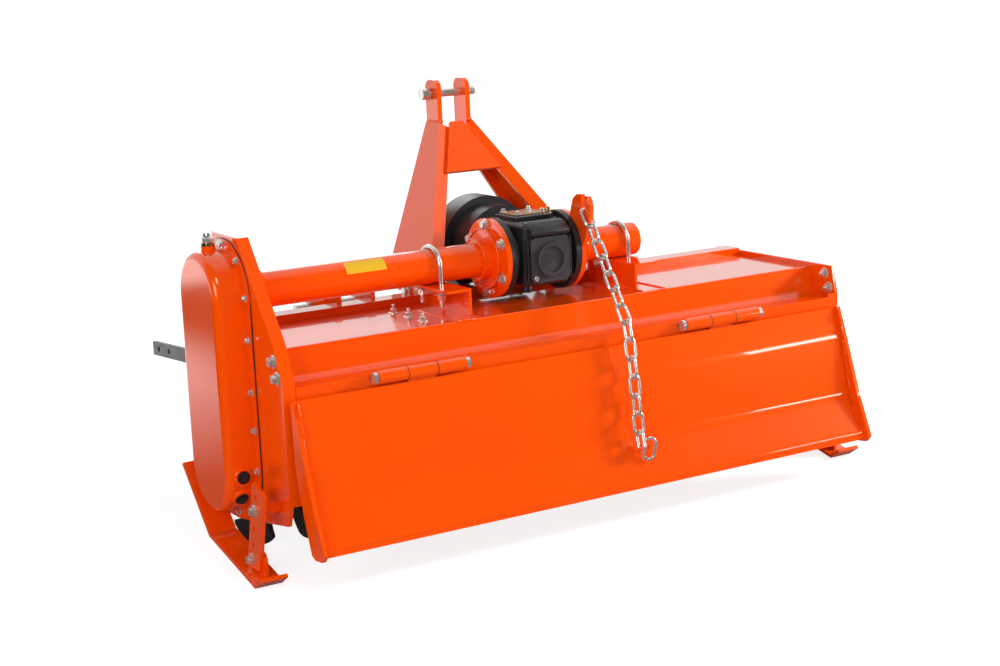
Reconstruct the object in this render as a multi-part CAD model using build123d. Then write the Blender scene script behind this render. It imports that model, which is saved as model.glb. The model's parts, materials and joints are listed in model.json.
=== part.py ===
"""Rotary tiller for a small tractor, driven by a chain at its left end.

A cross tube and a stub tube carry the bevel gearbox, and both are clamped by U-bolts to brackets on
the hood.  The left side plate holds the chain case, the right one the rotor's far bearing.  Behind the
rotor hangs a levelling flap, held down by a chain.  Sizes in millimetres, X to the right seen from
behind, Y forward to the tractor, Z up; the model is centred over its own footprint at the end.
"""
import os
from math import cos, hypot, pi

from build123d import *

# ---- overall sizes ----
inner_width = 1410.0  # between the side plates
tube_height = 558.0  # axis of the cross tube above the ground
chain_centres = 353.0  # from the cross tube's axis down to the rotor's
tip_radius = 205.0  # rotor axis to blade tips
plate_wall = 8.0
deck_drop = 98.0  # cross tube's axis down to the top of the deck
sheet_wall = 4.0

# ---- cross tube, flanges and gearbox ----
tube_radius = 38.0
tube_wall = 6.0
gearbox_x = 11.0
gearbox_half_span = 91.5  # gearbox centre to the face where each flange bolts on
flange_radius = 89.0
flange_wall = 12.0
stub_end_x = 299.0
hook_slot = (-97.5, 91.0)  # Y, Z above the tube's axis of the bottom of the hook's slot
hook_slot_half = 6.5
hook_wall = 10.0
hook_outline = ((-36.0, 60.0), (-41.0, 79.0), (-57.0, 119.0), (-72.0, 129.0), (-88.0, 130.0), (-104.0, 127.0),
                (-114.0, 127.0), (-121.0, 118.0), (-124.0, 102.0), (-122.0, 84.0), (-112.0, 66.0),
                (-104.0, 38.0), (-88.0, 12.0), (-70.0, 20.0))
gearbox_body = (116.0, 160.0, 140.0)  # X, Y, Z
gearbox_neck_radius = 68.0
cover_size = 100.0
input_shaft_radius = 17.5
input_shaft_reach = 232.0  # end of the splines in front of the tube's axis
shield_rear_radius = 98.0
shield_front_radius = 114.0
shield_steps = (104.0, 172.0, 238.0)  # Y of its back, of its step and of its rim
shield_wall = 4.0

# ---- side plates, hood and front rail ----
plate_front = 200.0
plate_rear = -240.0
plate_top_left = 122.0  # above the tube's axis
plate_top_right = -88.0
plate_bottom = -480.0
edge_strip = 20.0  # width of the strip turned in along a plate's rear edge
rail_rear = 112.0
rail_size = 50.0
rail_top = -82.0
rail_wall = 4.0
slope_top = -149.0  # Y where the deck bends down
slope_foot = (-172.0, -156.0)  # Y, Z above the tube's axis
lip = (-240.0, -158.0, -189.0)  # Y of the hood's rear lip, Z of its top and of its lower edge
deck_gap = 1.0

# ---- flap and its hinges ----
hinge_y = -250.0
hinge_drop = 163.0
knuckle_radius = 14.0
hinge_pin_radius = 8.0
running_fit = 0.05
hinge_length = 204.0
hinge_places = (-408.0, 361.0)
flap_bends = ((-250.0, -182.0), (-270.0, -246.0), (-298.0, -384.0), (-349.0, -461.0), (-351.0, -478.0))
flap_side_gap = 1.0
flap_end_front = ((-247.0, -180.0), (-252.0, -234.0), (-258.0, -315.0), (-281.0, -404.0), (-308.0, -481.0))
flap_end_rear = ((-323.0, -487.0), (-352.0, -484.0), (-364.0, -470.0), (-326.0, -380.0), (-282.0, -248.0),
                 (-258.0, -180.0))  # Y, Z of its end plates' foot and rear edge
flap_end_wall = 9.0

# ---- mast and three-point hitch ----
mast_top = (45.0, 287.0, 349.0, 280.0)  # half width, rear Y, front Y, Z
mast_foot = (213.8, 61.0, 256.0, -38.0)
mast_wall = 8.0
mast_flange = 25.0
cross_plate_height = 108.0
ear_wall = 12.0
ear_gap = 64.0
ear_width = 54.0
top_pin_radius = 9.5
top_pin_place = (324.0, 345.0)
lower_pin_radius = 11.0  # its free end
lower_shank_radius = 12.0
lower_pin_reach = 34.0  # length of its free end
lower_sleeve = 36.0
lower_pin_place = (232.0, -98.0)
lower_pin_half_span = 350.0  # gearbox centre to the middle of the link ball's gap
lower_gap = 72.0
hitch_wall = 12.0

# ---- brackets and U-bolts ----
bracket_half_span = 220.0  # gearbox centre to the outer face of a bracket's web
bracket_flange = 54.0
bracket_rear = -115.0
bracket_wall = 6.0
u_bolt_radius = 5.0
u_bolt_drop = 85.0
seat_gap = 0.2

# ---- rotor ----
rotor_tube_radius = 42.0
rotor_end_gap = 22.0
rotor_flange_radius = 78.0
rotor_flange_wall = 10.0
rotor_flanges = 6
rotor_flange_inset = 80.0
blades_each_way = 3
blade_wall = 7.0
blade_reach = 62.0  # length of a blade's turned tip along the rotor
blade_bend = 22.0
helix_step = 20.0  # degrees from one flange to the next
rotor_turn = 32.6  # degrees, which puts two rows of blade tips evenly under the shaft

# ---- chain case ----
case_depth = 68.0
case_radius = 95.0
case_wall = 4.0
case_edge = 16.0
case_flange_radius = 116.0
case_flange_wall = 6.0

# ---- skids ----
skid_width = 60.0
skid_wall = 8.0
skid_line = ((-238.0, 20.0), (-207.0, 0.0), (15.0, 54.0), (136.0, 183.0))  # Y, Z of its lower face
strut_wall = 8.0
strut_outline = ((-178.0, -348.0), (-229.0, -368.0), (-197.0, -490.0), (-180.0, -534.0), (-128.0, -534.0),
                 (-137.0, -496.0))  # Y, Z above the tube's axis
strut_holes = ((-190.0, -378.0), (-171.0, -447.0), (-163.0, -482.0))
strut_bolt = (-181.0, -408.0)
skid_lug = ((-128.0, 20.0), (-126.0, 52.0), (-142.0, 62.0), (-184.0, 62.0), (-194.0, 50.0), (-194.0, 4.0))

# ---- flat bar on the left plate ----
side_bar_line = ((122.0, -157.0), (428.0, -177.0))  # Y, Z of its ends
side_bar_height = 31.0
side_bar_wall = 8.0

# ---- flap chain ----
link_wire = 3.5  # radius
link_inner_length = 40.5
link_inner_width = 17.0
link_play = 0.5
chain_route = ((107.5, -95.6, 97.9), (93.0, -267.0, -138.0), (86.0, -294.0, -239.0),
               (78.0, -321.0, -366.0), (74.0, -339.0, -408.0))  # X, Y, Z above the tube's axis
upper_links = 8
lower_links = 6
lug_wire = 4.0
lug_half_span = 17.0

half_width = inner_width / 2
rotor_z = tube_height - chain_centres
deck_z = tube_height - deck_drop
hinge_z = tube_height - hinge_drop
PARTS = {}


def keep(name, *solids):
    """Puts solids under the name of their piece."""
    PARTS.setdefault(name, []).extend(solids)


def block(x0, x1, y0, y1, z0, z1):
    """A block between two corners."""
    middle = ((x0 + x1) / 2, (y0 + y1) / 2, (z0 + z1) / 2)
    return Pos(*middle) * Box(abs(x1 - x0), abs(y1 - y0), abs(z1 - z0))


def rod_x(radius, x0, x1, y, z):
    """A cylinder along X."""
    return Pos((x0 + x1) / 2, y, z) * Rot(0, 90, 0) * Cylinder(radius, abs(x1 - x0))


def rod_y(radius, y0, y1, x, z):
    """A cylinder along Y."""
    return Pos(x, (y0 + y1) / 2, z) * Rot(90, 0, 0) * Cylinder(radius, abs(y1 - y0))


def rod_z(radius, z0, z1, x, y):
    """A cylinder along Z."""
    return Pos(x, y, (z0 + z1) / 2) * Cylinder(radius, abs(z1 - z0))


def plate_x(outline, x0, x1, corner=0.0):
    """A plate square to X: an outline of (y, z) points, its corners rounded, from x0 to x1."""
    face = Polygon(*outline, align=None)
    if corner:
        face = fillet(face.vertices(), corner)
    return extrude(Plane.YZ.offset(min(x0, x1)) * face, abs(x1 - x0), dir=(1, 0, 0))


def from_tube(points):
    """Turns heights above the tube's axis into heights above the ground."""
    return [(y, tube_height + z) for y, z in points]


def bent_sheet(line, wall, x0, x1):
    """A sheet bent along X: a line of (y, z) points thickened to its left by the wall."""
    outer = []
    for index, point in enumerate(line):
        before = line[max(index - 1, 0)]
        after = line[min(index + 1, len(line) - 1)]
        a = unit(before, point) if index else unit(point, after)
        b = unit(point, after) if index < len(line) - 1 else a
        bisector = (a[0] + b[0], a[1] + b[1])
        length = hypot(*bisector)
        normal = (-bisector[1] / length, bisector[0] / length)
        reach = wall / max(0.3, normal[0] * -a[1] + normal[1] * a[0])
        outer.append((point[0] + normal[0] * reach, point[1] + normal[1] * reach))
    return plate_x(list(line) + outer[::-1], x0, x1)


def unit(a, b):
    """The direction from a to b."""
    length = hypot(b[0] - a[0], b[1] - a[1])
    return ((b[0] - a[0]) / length, (b[1] - a[1]) / length)


def cross_tube():
    """The long tube with its collar at the left plate, and the capped stub on the far side."""
    left_face = gearbox_x - gearbox_half_span
    right_face = gearbox_x + gearbox_half_span
    z = tube_height
    long_tube = rod_x(tube_radius, -half_width, left_face, 0, z)
    long_tube += rod_x(60, -half_width, -half_width + 10, 0, z)
    long_tube += rod_x(48, -half_width, -half_width + 60, 0, z)
    stub = rod_x(tube_radius, right_face, stub_end_x, 0, z)
    for tube, face, side in ((long_tube, left_face, -1), (stub, right_face, 1)):
        flange = rod_x(flange_radius, face, face + side * flange_wall, 0, z)
        hub = rod_x(66, face, face + side * 22, 0, z)
        collar = rod_x(tube_radius + 8, face, face + side * 44, 0, z)
        bore = rod_x(tube_radius - tube_wall, face, face + side * 900, 0, z)
        piece = tube + flange + hub + collar
        if side < 0:
            keep("cross_tube", piece - bore)
        else:
            cap = rod_x(tube_radius, stub_end_x - 6, stub_end_x, 0, z)
            keep("stub_tube", piece - bore + cap)


def chain_hook():
    """A forked plate on the right flange, in which a link of the flap's chain is caught."""
    x0 = gearbox_x + gearbox_half_span
    y, z = hook_slot
    slot_z = tube_height + z + hook_slot_half
    hook = plate_x(from_tube(hook_outline), x0, x0 + hook_wall, 3)
    hook -= block(x0 - 1, x0 + hook_wall + 1, y - hook_slot_half, y + hook_slot_half, slot_z, slot_z + 60)
    hook -= rod_x(hook_slot_half, x0 - 1, x0 + hook_wall + 1, y, slot_z)
    keep("chain_hook", hook - rod_x(flange_radius + 0.05, x0 - 1, x0 + hook_wall + 1, 0, tube_height))


def gearbox():
    """Cast housing with a neck to each flange, its two bolted covers and its plugs."""
    x, z = gearbox_x, tube_height
    size_x, size_y, size_z = gearbox_body
    body = Pos(x, -8, z + 8) * Box(size_x, size_y, size_z)
    body = fillet(body.edges(), 12)
    body += rod_x(gearbox_neck_radius, x - gearbox_half_span + 14, x + gearbox_half_span - 14, 0, z)
    for side in (-1, 1):
        face = x + side * gearbox_half_span
        body += rod_x(flange_radius, face, face - side * 15, 0, z)
    body += rod_y(52, 60, 98, x, z)
    body += rod_z(12, z - 78, z - 50, x - 34, -50)
    body -= rod_y(input_shaft_radius + running_fit, 40, 99, x, z)
    keep("gearbox_housing", body)

    rear = z - 2
    back = -8 - size_y / 2
    half = cover_size / 2
    cover = block(x - half, x + half, back - 12, back, rear - half, rear + half)
    cover = fillet(cover.edges().filter_by(Axis.Y), 14)
    ring = rod_y(37, back - 20, back - 12, x, rear) - rod_y(29, back - 21, back - 15, x, rear)
    keep("gearbox_rear_cover", cover + ring)

    top = z + 8 + size_z / 2
    lid = block(x - 46, x + 46, -34, 62, top, top + 10)
    lid = fillet(lid.edges().filter_by(Axis.Z), 12)
    lid += block(x - 24, x + 24, -16, 44, top + 10, top + 16)
    keep("gearbox_top_cover", lid)
    keep("gearbox_breather", rod_z(9, top + 16, top + 24, x + 12, 14) + rod_z(6, top + 24, top + 34, x + 12, 14))


def input_shaft():
    """The splined stub that the tractor's drive shaft pushes on to."""
    x, z = gearbox_x, tube_height
    shaft = rod_y(input_shaft_radius, 44, 150, x, z)
    shaft += rod_y(input_shaft_radius - 3, 150, input_shaft_reach, x, z)
    for turn in range(6):
        tooth = block(-4.3, 4.3, 150, input_shaft_reach - 4, 0, input_shaft_radius)
        shaft += Pos(x, 0, z) * Rot(0, turn * 60, 0) * tooth
    shaft -= rod_y(30, 190, 198, x, z) - rod_y(input_shaft_radius - 3, 189, 199, x, z)
    keep("input_shaft", shaft)


def pto_shield():
    """A stepped plastic bell round the input shaft, open to the front."""
    x, z = gearbox_x, tube_height
    back, step, rim = shield_steps
    wall = shield_wall
    small, large = shield_rear_radius, shield_front_radius
    profile = [(54, back), (small, back), (small, step), (large, step), (large, rim), (large - wall, rim),
               (large - wall, step + wall), (small - wall, step + wall), (small - wall, back + wall),
               (54, back + wall)]
    face = Polygon(*profile, align=None)
    bell = revolve(Plane.XY * face, Axis.Y)
    bell += rod_y(54, back - 6, back + wall, 0, 0) - rod_y(40, back - 7, back + wall + 1, 0, 0)
    bell = Pos(x, 0, z) * bell
    notch_top = tube_height + rail_top + 4
    bell -= block(x - large, x + large, rail_rear - 20, step - 1, z - large, notch_top)
    keep("pto_shield", bell)


def side_plates():
    """Both end walls: flat plates, the rear edge turned in, the left one raised to hold the tube."""
    lower = [(plate_rear, -398), (plate_rear + 14, -440), (20, plate_bottom), (110, plate_bottom),
             (plate_front, -330)]
    left = [(plate_front, -60), (118, 60), (80, plate_top_left), (-62, plate_top_left),
            (plate_rear + 32, -75), (plate_rear, -150)]
    right = [(plate_front, plate_top_right), (plate_rear + 12, plate_top_right), (plate_rear, -150)]
    for name, upper, side in (("left_side_plate", left, -1), ("right_side_plate", right, 1)):
        inner = side * half_width
        outer = inner + side * plate_wall
        plate = plate_x(from_tube(lower + upper), inner, outer)
        strips = [upper[-1], lower[0]]
        if side < 0:
            strips = upper[3:] + [lower[0]]
        strip = bent_sheet(from_tube(strips), 6, inner, inner - side * edge_strip)
        plate += strip
        plate -= rod_x(30, inner - side, outer + side, 0, rotor_z)
        keep(name, plate)


def hood():
    """Deck, rear slope, shelf and lip, bent from one sheet, and the square rail along its front edge."""
    end = half_width - deck_gap
    lip_y, lip_top, lip_foot = lip
    line = from_tube([(rail_rear, -deck_drop), (slope_top, -deck_drop), slope_foot, (lip_y, lip_top),
                      (lip_y, lip_foot)])
    sheet = bent_sheet(line, sheet_wall, -end, end)
    third = hinge_length / 3
    for middle in hinge_places:
        for place, room in ((-1, seat_gap), (0, 1.0), (1, seat_gap)):
            x = middle + place * third
            sheet -= rod_x(knuckle_radius + room, x - third / 2, x + third / 2, hinge_y, hinge_z)
        for side in (-1, 1):
            face = middle + side * hinge_length / 2
            sheet -= rod_x(knuckle_radius, face, face + side * 12, hinge_y, hinge_z)
    for side in (-1, 1):
        inner = side * (half_width - edge_strip - 1)
        sheet -= block(inner, side * (end + 1), lip_y - 1, plate_rear + 8, tube_height + lip_foot - 1,
                       tube_height + lip_top + 20)
    keep("hood", sheet)
    front = rail_rear + rail_size
    top = tube_height + rail_top
    rail = block(-half_width, half_width, rail_rear, front, top - rail_size, top)
    hole = block(-half_width - 1, half_width + 1, rail_rear + rail_wall, front - rail_wall,
                 top - rail_size + rail_wall, top - rail_wall)
    keep("front_rail", rail - hole)


def hinges():
    """Two pipe hinges: outer knuckles on the hood, the middle one on the flap, a headed pin in each."""
    third = hinge_length / 3
    for middle in hinge_places:
        for place, name in ((-1, "hood_knuckles"), (0, "flap_knuckles"), (1, "hood_knuckles")):
            x0 = middle + (place - 0.5) * third + 0.5
            x1 = middle + (place + 0.5) * third - 0.5
            knuckle = rod_x(knuckle_radius, x0, x1, hinge_y, hinge_z)
            knuckle -= rod_x(hinge_pin_radius + running_fit, x0 - 1, x1 + 1, hinge_y, hinge_z)
            keep(name, knuckle)
        x0 = middle - hinge_length / 2
        x1 = middle + hinge_length / 2
        pin = rod_x(hinge_pin_radius, x0, x1, hinge_y, hinge_z)
        for end, side in ((x0, -1), (x1, 1)):
            pin += rod_x(hinge_pin_radius + 4, end + side * 0.3, end + side * 9, hinge_y, hinge_z)
            pin += rod_x(hinge_pin_radius, end, end + side, hinge_y, hinge_z)
        keep("hinge_pins", pin)


def flap():
    """The levelling flap: a sheet bent four times, closed at each end by a plate that stands proud."""
    end = half_width - flap_side_gap
    inner = end - flap_end_wall
    sheet = bent_sheet(from_tube(flap_bends), sheet_wall, -inner, inner)
    third = hinge_length / 3
    top = from_tube(flap_bends)[0][1]
    for middle in hinge_places:
        leaf = block(middle - third / 2 + 2, middle + third / 2 - 2, hinge_y, hinge_y + sheet_wall,
                     top - 1, hinge_z)
        sheet += leaf - rod_x(knuckle_radius, middle - third, middle + third, hinge_y, hinge_z)
    keep("flap", sheet)
    for side in (-1, 1):
        keep("flap_end_plates", plate_x(from_tube(flap_end_front + flap_end_rear), side * end, side * inner))


def mast():
    """Two tapered channel legs, the plate between them and the two ears of the top link."""
    top_half, top_rear, top_front, top_z = mast_top
    foot_half, foot_rear, foot_front, foot_z = mast_foot
    height = hypot(foot_half - top_half, top_z - foot_z)
    web = [(top_rear, 0), (top_front, 0), (foot_front, -height), (foot_rear, -height)]
    slope = unit(web[3], web[0])
    inset = mast_wall / slope[1]
    rear = [web[0], (top_rear + inset, 0), (foot_rear + inset, -height), web[3]]
    front = [(top_front - inset, 0), web[1], web[2], (foot_front - inset, -height)]
    for name, side in (("left_mast_leg", -1), ("right_mast_leg", 1)):
        along = Vector(side * (top_half - foot_half), 0, top_z - foot_z) / height
        inward = Vector(0, 1, 0).cross(along)
        if inward.X * side > 0:
            inward = inward * -1
        origin = Vector(gearbox_x + side * top_half, 0, tube_height + top_z)
        plane = Plane(origin=origin, x_dir=(0, 1, 0), z_dir=Vector(0, 1, 0).cross(along))
        leg = extrude(plane * Polygon(*web, align=None), mast_wall, dir=inward)
        for strip in (rear, front):
            leg += extrude(plane * Polygon(*strip, align=None), mast_wall + mast_flange, dir=inward)
        keep(name, leg)


def mast_extras(legs):
    """The plate between the legs, the feet bolted inside the brackets, the ears and the top pin."""
    top_half, top_rear, top_front, top_z = mast_top
    foot_half, foot_rear, foot_front, foot_z = mast_foot
    slope = unit((foot_rear, foot_z), (top_rear, top_z))
    lean = (foot_half - top_half) / (top_z - foot_z)
    tip = (mast_wall + mast_flange) / hypot(1, lean)
    origin = Vector(gearbox_x, top_rear, tube_height + top_z)
    plane = Plane(origin=origin, x_dir=(1, 0, 0), z_dir=Vector(1, 0, 0).cross(Vector(0, slope[0], slope[1])))
    drop = cross_plate_height / slope[1]
    low_half = top_half + lean * cross_plate_height
    outline = [(tip - top_half - 1, 0), (top_half - tip + 1, 0), (low_half - tip + 1, -drop),
               (tip - low_half - 1, -drop)]
    web = extrude(plane * Polygon(*outline, align=None), mast_wall, dir=plane.z_dir * -1)
    keep("mast_cross_plate", web - legs[0] - legs[1])

    y, z = top_pin_place
    rear = top_rear + 6
    for side, leg in zip((-1, 1), legs):
        inner = gearbox_x + side * ear_gap / 2
        outline = from_tube([(rear, top_z - 22), (rear + ear_width, top_z - 22),
                             (rear + ear_width, z + 32), (rear, z + 32)])
        ear = plate_x(outline, inner, inner + side * ear_wall)
        ear = fillet(ear.edges().filter_by(Axis.X).group_by(Axis.Z)[-1], 20)
        ear -= rod_x(top_pin_radius + running_fit, inner - 20, inner + 20, y, tube_height + z)
        keep("top_link_ears", ear - leg)
    x0 = gearbox_x - ear_gap / 2 - ear_wall
    x1 = gearbox_x + ear_gap / 2 + ear_wall
    pin = rod_x(top_pin_radius, x0 - 6, x1 + 28, y, tube_height + z)
    pin += rod_x(top_pin_radius + 4, x0 - 26, x0 - 4, y, tube_height + z)
    pin += rod_x(top_pin_radius + 3, x1 + 4, x1 + 14, y, tube_height + z)
    keep("top_link_pin", pin)


def brackets(legs):
    """A bracket on each side: a web on the deck, a top flange under the tube, the U-bolt and its nuts."""
    rail_front = rail_rear + rail_size
    seat = -tube_radius - seat_gap
    for name, side, leg in (("left", -1, legs[0]), ("right", 1, legs[1])):
        face = gearbox_x + side * bracket_half_span
        web_line = from_tube([(bracket_rear, -deck_drop), (rail_rear, -deck_drop), (rail_rear, rail_top),
                              (mast_foot[2] - 50, rail_top), (mast_foot[2] - 50, seat - 16),
                              (mast_foot[2] - 66, seat), (bracket_rear, seat)])
        bracket = plate_x(web_line, face, face - side * bracket_wall)
        bracket += block(face - side * bracket_wall, face + side * bracket_flange, bracket_rear, 62,
                         tube_height + seat - bracket_wall, tube_height + seat)
        u_x = face + side * bracket_flange / 2
        leg_y = tube_radius + u_bolt_radius + 0.3
        for y in (-leg_y, leg_y):
            bracket -= rod_z(u_bolt_radius + 0.5, tube_height + seat - 20, tube_height + seat + 5, u_x, y)
        keep(f"{name}_tube_bracket", bracket)

        arch = Pos(u_x, 0, tube_height) * Rot(0, 90, 0) * Torus(leg_y, u_bolt_radius)
        arch -= block(u_x - 20, u_x + 20, -80, 80, tube_height - 80, tube_height)
        bolt = arch
        nut_top = tube_height + seat - bracket_wall - seat_gap
        for y in (-leg_y, leg_y):
            bolt += rod_z(u_bolt_radius, tube_height - u_bolt_drop, tube_height, u_x, y)
            nut = extrude(Pos(u_x, y, nut_top - 9) * RegularPolygon(9.8, 6), 9)
            bolt += nut
        keep(f"{name}_u_bolt", bolt)

        inner = face - side * (bracket_wall + seat_gap)
        low = tube_height + rail_top + seat_gap
        foot = block(inner, inner - side * mast_wall, mast_foot[1], mast_foot[2] - 6, low,
                     tube_height + mast_foot[3] + 2)
        keep(f"{name}_mast_leg", leg + foot)


def lower_hitch():
    """Each lower link point: two plates on the rail, a sleeve outside them and the link pin."""
    y, z = lower_pin_place
    front = rail_rear + rail_size
    for name, side in (("left", -1), ("right", 1)):
        middle = gearbox_x + side * lower_pin_half_span
        solids = []
        outline = from_tube([(front, z - 32), (front, z + 32), (y + 28, z + 26), (y + 28, z - 26)])
        for reach in (-lower_gap / 2, lower_gap / 2):
            x1 = middle + reach + (hitch_wall if reach > 0 else -hitch_wall)
            solids.append(plate_x(outline, middle + reach, x1, 8))
        outer = middle + side * (lower_gap / 2 + hitch_wall)
        face = outer + side * lower_sleeve
        sleeve = rod_x(18, outer, face, y, tube_height + z)
        bore = rod_x(lower_shank_radius + running_fit, middle - 200, middle + 200, y, tube_height + z)
        pin = rod_x(lower_shank_radius, middle - side * 50, face, y, tube_height + z)
        pin += rod_x(lower_pin_radius, face, face + side * lower_pin_reach, y, tube_height + z)
        pin += rod_x(lower_shank_radius + 4, middle - side * 58, middle - side * 50, y, tube_height + z)
        solids = [solids[0] + sleeve if side < 0 else solids[0], solids[1] if side < 0 else solids[1] + sleeve]
        keep(f"{name}_lower_hitch", *[solid - bore for solid in solids])
        keep(f"{name}_lower_pin", pin)


def chain_case():
    """The pressed cover over the drive chain, its rim bolted to the left plate, and its three plugs."""
    inner = -half_width - plate_wall
    outer = inner - case_depth
    middle = (tube_height + rotor_z) / 2

    def slot(radius, x0, x1):
        """A stadium round both shafts, between two places along X."""
        face = SlotCenterToCenter(chain_centres, 2 * radius, rotation=90)
        return extrude(Plane.YZ.offset(min(x0, x1)) * Pos(0, middle) * face, abs(x1 - x0))

    cover = slot(case_radius, outer, inner)
    cover = fillet(cover.faces().sort_by(Axis.X)[0].edges(), case_edge)
    cover += slot(case_flange_radius, inner - case_flange_wall, inner)
    cavity = slot(case_radius - case_wall, outer + case_wall, inner)
    cover -= fillet(cavity.faces().sort_by(Axis.X)[0].edges(), case_edge - case_wall)
    x = inner - case_depth / 2
    top = tube_height + case_radius
    cover += rod_z(15, top - 3, top + 10, x, 0)
    keep("chain_case_cover", cover)
    keep("chain_case_plugs", rod_z(9, top + 10, top + 20, x, 0) + rod_z(6, top + 20, top + 30, x, 0))
    for angle in (-4, -34):
        plug = Cylinder(13, 6) + Pos(0, 0, 3) * extrude(RegularPolygon(8, 6), 6)
        seat = Pos(x, 0, rotor_z) * Rot(180 - angle, 0, 0) * Pos(0, case_radius + 3, 0) * Rot(-90, 0, 0)
        keep("chain_case_plugs", seat * plug)


def skids():
    """A bent flat bar under each end: bolted to a bracket in front, held by a drilled strut behind."""
    for name, side, gap in (("left", -1, 13.0), ("right", 1, 4.0)):
        plate_face = side * (half_width + plate_wall)
        inner = plate_face + side * gap
        middle = inner + side * skid_width / 2
        bar = bent_sheet(list(skid_line), skid_wall, inner, inner + side * skid_width)
        lug = plate_x(skid_lug, middle, middle - side * strut_wall)
        keep(f"{name}_skid", bar + (lug - bar))

        outer = middle + side * strut_wall
        strut = plate_x(from_tube(strut_outline), middle + side * seat_gap, outer)
        for y, z in strut_holes:
            strut -= rod_x(5.5, middle - 20, middle + 20, y, tube_height + z)
        y, z = strut_bolt
        strut += rod_x(13, plate_face, middle + side * seat_gap, y, tube_height + z)
        keep(f"{name}_skid_strut", strut - bar)

        a, b = skid_line[2:4]
        d = unit(a, b)
        rise = skid_wall + seat_gap
        foot = [(b[0] - d[0] * back - d[1] * rise, b[1] - d[1] * back + d[0] * rise) for back in (44, 6)]
        bracket = bent_sheet(foot, 6, plate_face, middle + side * 16)
        bracket -= rod_x(case_flange_radius + 1, plate_face - 90, plate_face + 90, 0, rotor_z)
        keep(f"{name}_skid_bracket", bracket)


def side_bar():
    """A drilled galvanised flat bar that stands out in front of the left plate."""
    x = -half_width - plate_wall
    rear, front = side_bar_line
    half = side_bar_height / 2
    corners = [(rear[0], rear[1] - half), (front[0], front[1] - half), (front[0], front[1] + half),
               (rear[0], rear[1] + half)]
    bar = plate_x(from_tube(corners), x, x - side_bar_wall, 3)
    for back, radius in ((35, 7), (95, 6)):
        share = back / (front[0] - rear[0])
        z = tube_height + front[1] + (rear[1] - front[1]) * share
        bar -= rod_x(radius, x - 20, x + 1, front[0] - back, z)
    keep("side_bar", bar)


def rotor():
    """A tube on two stub shafts with welded flanges, and on each flange blades turned both ways."""
    z = rotor_z
    end = half_width - rotor_end_gap
    shaft = rod_x(rotor_tube_radius, -end, end, 0, z)
    shaft -= rod_x(rotor_tube_radius - 6, 10 - end, end - 10, 0, z)
    reach = half_width + plate_wall + 12
    shaft += rod_x(24, -reach, 10 - end, 0, z) + rod_x(24, end - 10, reach, 0, z)
    pitch = 2 * (half_width - rotor_flange_inset) / (rotor_flanges - 1)
    for index in range(rotor_flanges):
        x = rotor_flange_inset - half_width + index * pitch
        disc = rod_x(rotor_flange_radius, x - rotor_flange_wall / 2, x + rotor_flange_wall / 2, 0, z)
        keep("rotor_flanges", disc - rod_x(rotor_tube_radius, x - 20, x + 20, 0, z))
        for turn in range(blades_each_way):
            angle = rotor_turn + index * helix_step + turn * 360 / blades_each_way
            face = rotor_flange_wall / 2
            right = Pos(x + face, 0, z) * Rot(angle, 0, 0) * blade()
            left = Pos(x - face, 0, z) * Rot(angle + 180 / blades_each_way, 0, 0) * mirror(blade(), Plane.YZ)
            keep("right_hand_blades", right)
            keep("left_hand_blades", left)
    keep("rotor_tube", shaft)
    for side in (-1, 1):
        face = side * half_width
        if side < 0:
            bearing = rod_x(52, face, face + 14, 0, z)
        else:
            face += plate_wall
            bearing = rod_x(62, face, face + 10, 0, z) + rod_x(44, face, face + 26, 0, z)
        keep("rotor_bearings", bearing - rod_x(24 + running_fit, -reach - 1, reach + 1, 0, z))


def blade():
    """An L blade: a flat shank that sweeps back, and a tip turned along the rotor."""
    low = rotor_tube_radius + 4
    wall = blade_wall
    tip_y = 76.0
    top = (tip_radius ** 2 - tip_y ** 2) ** 0.5
    bend = blade_bend
    corner = bend * (1 - cos(pi / 4))
    inner = bend - wall
    inner_corner = wall + inner * (1 - cos(pi / 4))
    section = Polyline((wall, top - bend), (wall, low), (0, low), (0, top - bend))
    section += ThreePointArc((0, top - bend), (corner, top - corner), (bend, top))
    section += Polyline((bend, top), (blade_reach, top), (blade_reach, top - wall), (bend, top - wall))
    section += ThreePointArc((bend, top - wall), (inner_corner, top - inner_corner), (wall, top - bend))
    ell = extrude(Plane.XZ * make_face(section), 90, both=True)
    side = Polyline((-22, 112), (-22, low), (22, low), (22, 104))
    side += ThreePointArc((22, 104), (42, 150), (tip_y, top - 18))
    side += Polyline((tip_y, top - 18), (tip_y, top + 1), (4, top + 1))
    side += ThreePointArc((4, top + 1), (-14, 158), (-22, 112))
    outline = extrude(Plane.YZ * make_face(side), blade_reach + 1)
    holes = [rod_x(6.5, -1, wall + 1, 0, low + rise) for rise in (10, 26)]
    return (ell & outline) - holes[0] - holes[1]


def link(middle, along, across):
    """One chain link: two straight sides and two half rings."""
    bend = link_inner_width / 2 + link_wire
    straight = link_inner_length - link_inner_width
    ring = Torus(bend, link_wire)
    half = ring - Pos(0, -bend, 0) * Box(4 * bend, 2 * bend, 4 * link_wire)
    piece = Pos(0, straight / 2, 0) * half + Pos(0, -straight / 2, 0) * Rot(0, 0, 180) * half
    for x in (-bend, bend):
        piece += Pos(x, 0, 0) * Rot(90, 0, 0) * Cylinder(link_wire, straight)
    plane = Plane(origin=middle, x_dir=across, z_dir=Vector(across).cross(Vector(along)))
    return plane.location * piece


def walk(points, distance):
    """The point at a distance along a line of points."""
    for a, b in zip(points, points[1:]):
        length = (b - a).length
        if distance <= length:
            return a + (b - a) * (distance / length)
        distance -= length
    return b + (b - a).normalized() * distance


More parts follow.
